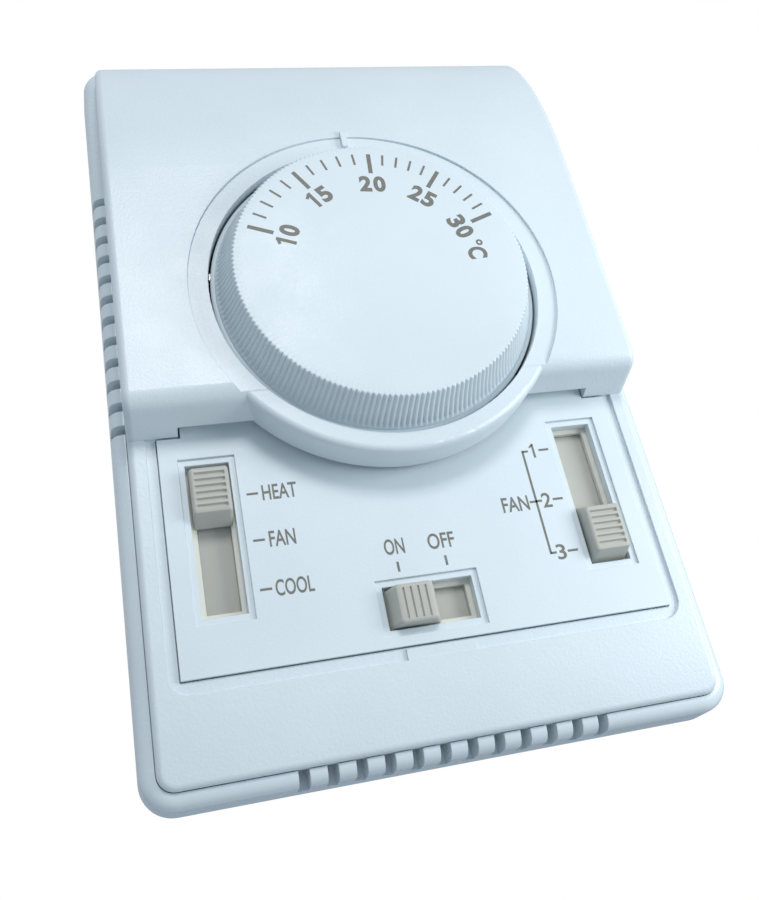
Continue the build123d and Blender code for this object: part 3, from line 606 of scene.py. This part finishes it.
def add_finger_block(shape, length, top_length, ribs):
    """The ribbed block that a finger pushes, its corners rounded."""
    rows = []
    for across, inset, share in KNOB_LAYERS:
        row = []
        for along, height in knob_profile(length, top_length, ribs, share):
            rise = (height - KNOB_FOOT_W) / (KNOB_TOP_W - KNOB_FOOT_W)
            place = along * (1 - 2 * inset / length)
            row.append((place, across * KNOB_HALF_WIDTH, height - inset * rise))
        rows.append(row)
    start = shape.grid(rows, close_columns=True)
    width = len(rows[0])
    shape.cap(range(start, start + width), True)
    last = start + width * (len(rows) - 1)
    shape.cap(range(last, last + width))


def knob_piece(name, body, middle, upright, length, top_length, ribs, shutter, replaced):
    """A finger block, its stem and the shutter behind the slot, in one piece."""
    shape = Shape()
    add_finger_block(shape, length, top_length, ribs)
    half_stem, stem_side = length / 2 - 1.4, 2.2
    shape.rounded_slab(-half_stem, half_stem, -stem_side, stem_side, *STEM_W, 0.1)
    half_long, half_wide = shutter
    shape.rounded_slab(-half_long, half_long, -half_wide, half_wide, *SHUTTER_W, 0.12)
    points = []
    for along, across, height in shape.points:
        if upright:
            points.append((middle[0] - across, middle[1] + along, height))
        else:
            points.append((middle[0] + along, middle[1] + across, height))
    made = piece(name, points, shape.faces, "knob", body, 28.0)
    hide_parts(replaced)


def switch_knobs():
    """The three finger pieces, each where it rests."""
    half = SIDE_TRAVEL / 2
    side = dict(
        upright=True, length=9.5, top_length=7.1,
        ribs=(6, 0.62, 0.34), shutter=(18.3, 3.2),
    )
    mode_place = (-SIDE_SLOT_U, SIDE_SLOT_V + half)
    fan_place = (SIDE_SLOT_U, SIDE_SLOT_V - half)
    power_place = (-POWER_TRAVEL / 2, POWER_SLOT_V)
    knob_piece("mode_knob", "mode_slide_body", mode_place, replaced="mode_slider", **side)
    knob_piece("fan_knob", "fan_slide_body", fan_place, replaced="fan_slider", **side)
    knob_piece(
        "power_knob", "power_slide_body", power_place,
        upright=False, length=8.0, top_length=5.6,
        ribs=(4, 0.3, 0.3), shutter=(9.3, 3.1), replaced="power_slider",
    )


# Studio -------------------------------------------------------------------------------
def pale_floor():
    """A wide pale floor well under the wall piece."""
    floor_depth, half = -0.9, 1.2
    mesh = bpy.data.meshes.new("studio_floor")
    corners = [(-half, -half, floor_depth), (half, -half, floor_depth), (half, half, floor_depth),
               (-half, half, floor_depth)]
    mesh.from_pydata(corners, [], [(0, 1, 2, 3)])
    mesh.materials.append(studio_floor("floor_pale"))
    floor = bpy.data.objects.new("studio_floor", mesh)
    bpy.context.scene.collection.objects.link(floor)


def white_room():
    """Light from all round, darker and bluer from below, and white where the camera sees it."""
    world = bpy.data.worlds.new("white_room")
    bpy.context.scene.world = world
    world.use_nodes = True
    tree = world.node_tree
    tree.nodes.clear()
    place = tree.nodes.new("ShaderNodeTexCoord")
    split = tree.nodes.new("ShaderNodeSeparateXYZ")
    ramp = tree.nodes.new("ShaderNodeValToRGB")
    height = tree.nodes.new("ShaderNodeMapRange")
    height.inputs["From Min"].default_value = -1.0
    ramp.color_ramp.elements[0].color = (0.27, 0.39, 0.52, 1.0)
    ramp.color_ramp.elements[0].position = 0.30
    ramp.color_ramp.elements[1].color = (0.86, 0.93, 1.0, 1.0)
    ramp.color_ramp.elements[1].position = 0.72
    lit = tree.nodes.new("ShaderNodeBackground")
    lit.inputs["Strength"].default_value = 0.63
    seen = tree.nodes.new("ShaderNodeBackground")
    seen.inputs["Color"].default_value = (1.0, 1.0, 1.0, 1.0)
    seen.inputs["Strength"].default_value = 1.0
    ray = tree.nodes.new("ShaderNodeLightPath")
    mix = tree.nodes.new("ShaderNodeMixShader")
    out = tree.nodes.new("ShaderNodeOutputWorld")
    link = tree.links.new
    link(place.outputs["Generated"], split.inputs["Vector"])
    link(split.outputs["Z"], height.inputs["Value"])
    link(height.outputs["Result"], ramp.inputs["Fac"])
    link(ramp.outputs["Color"], lit.inputs["Color"])
    link(ray.outputs["Is Camera Ray"], mix.inputs["Fac"])
    link(lit.outputs["Background"], mix.inputs[1])
    link(seen.outputs["Background"], mix.inputs[2])
    link(mix.outputs["Shader"], out.inputs["Surface"])


def area_light(name, place, target, size, power, colour):
    """A soft square lamp aimed at a point."""
    data = bpy.data.lights.new(name, "AREA")
    data.size = size
    data.energy = power
    data.color = colour
    lamp = bpy.data.objects.new(name, data)
    lamp.location = place
    lamp.rotation_euler = (Vector(target) - Vector(place)).to_track_quat("-Z", "Y").to_euler()
    bpy.context.scene.collection.objects.link(lamp)


def lights():
    """A soft key lamp in front and above, and a weak one from the right."""
    centre = (0.0, 0.0, 0.0)
    area_light("key_lamp", (0.02, -0.72, 0.42), centre, 0.22, 2.35, (0.99, 1.0, 1.0))
    area_light("side_lamp", (0.17, -0.12, -0.03), centre, 0.10, 0.24, (0.92, 0.97, 1.0))


CAMERA_PLACE = (-0.03769, -0.13602, -0.07141)
CAMERA_RIGHT = (0.97047, -0.15827, -0.18202)
CAMERA_UP = (0.09636, -0.43739, 0.89409)
CAMERA_FORWARD = (0.22112, 0.88523, 0.40923)


def camera():
    """The photograph's point of view: close, from below left."""
    data = bpy.data.cameras.new("photo_camera")
    data.lens = 36.20
    data.sensor_width = 36.0
    data.shift_x = 0.02735
    data.shift_y = -0.03267
    data.clip_start = 0.01
    made = bpy.data.objects.new("photo_camera", data)
    turn = Matrix((Vector(CAMERA_RIGHT), Vector(CAMERA_UP), -Vector(CAMERA_FORWARD))).transposed()
    made.matrix_world = Matrix.Translation(CAMERA_PLACE) @ turn.to_4x4()
    bpy.context.scene.collection.objects.link(made)
    bpy.context.scene.camera = made


dress_cad_nodes()
fluted_dial()
temperature_scale()
switch_legends()
switch_knobs()
pale_floor()
white_room()
lights()
camera()
bpy.context.scene.view_settings.view_transform = "Standard"
